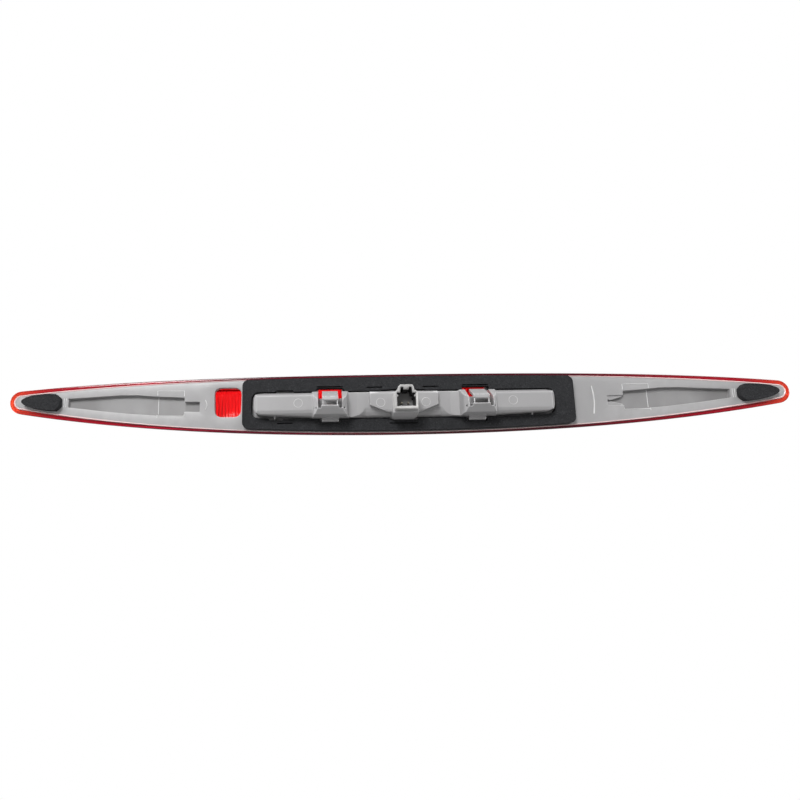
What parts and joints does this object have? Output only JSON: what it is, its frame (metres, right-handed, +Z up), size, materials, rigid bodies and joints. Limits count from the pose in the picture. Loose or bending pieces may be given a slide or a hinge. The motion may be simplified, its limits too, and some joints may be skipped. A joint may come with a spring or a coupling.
{
  "type": "third brake light",
  "caption": "Long slim red lens on a grey carrier with a foam gasket, two snap clips and a keyed socket, for the middle of a car's tail.",
  "frame": {"origin": "middle of the plane in which the foam gasket meets the body panel", "axes": "+X runs across the car along the lamp, +Y points into the car body, which is the insertion direction, and +Z is up"},
  "size_m": [0.5466, 0.0476, 0.044],
  "materials": {
    "red_lens": "clear red acrylic, polished outside, fluted inside",
    "grey_carrier": "satin moulded grey plastic with a fine grain",
    "grey_socket": "satin moulded grey plastic",
    "weld_bead": "glossy pink-white weld line",
    "foam": "charcoal closed-cell foam, fine pores, matt",
    "contact_metal": "tin-plated brass",
    "board": "green solder mask",
    "led_package": "white moulded package",
    "led_chip": "clear tinted cap",
    "mirror_coat": "vacuum-metallised plastic",
    "clear_optic": "clear acrylic",
    "component_black": "black moulded package",
    "capacitor_can": "bare aluminium can",
    "screw_steel": "zinc-plated steel",
    "solder": "bright solder"
  },
  "bodies": {
    "lamp": {"outer_lens": "red_lens", "housing": "grey_carrier", "weld_bead": "weld_bead", "main_gasket": "foam", "left_end_pad": "foam", "right_end_pad": "foam", "connector_socket": "grey_socket", "supply_pin": "contact_metal", "ground_pin": "contact_metal", "circuit_board": "board", "led_packages": "led_package", "led_chips": "led_chip", "reflector": "mirror_coat", "optic_strip": "clear_optic", "resistors": "component_black", "polarity_diode": "component_black", "surge_capacitor": "capacitor_can", "current_regulator": "component_black", "board_screws": "screw_steel", "solder_joints": "solder"},
    "left_latch": {"left_latch": "grey_carrier"},
    "right_latch": {"right_latch": "grey_carrier"}
  },
  "joints": [
    {"name": "left_latch_flex", "type": "hinge", "parent": "lamp", "child": "left_latch", "pos_m": [0.0489, 0.0158, 0.0004], "axis": [1, 0, 0], "range_deg": [0, 12], "stiffness_Nm_per_rad": 0.6},
    {"name": "right_latch_flex", "type": "hinge", "parent": "lamp", "child": "right_latch", "pos_m": [-0.0547, 0.0158, 0.0004], "axis": [1, 0, 0], "range_deg": [0, 12], "stiffness_Nm_per_rad": 0.6}
  ]
}
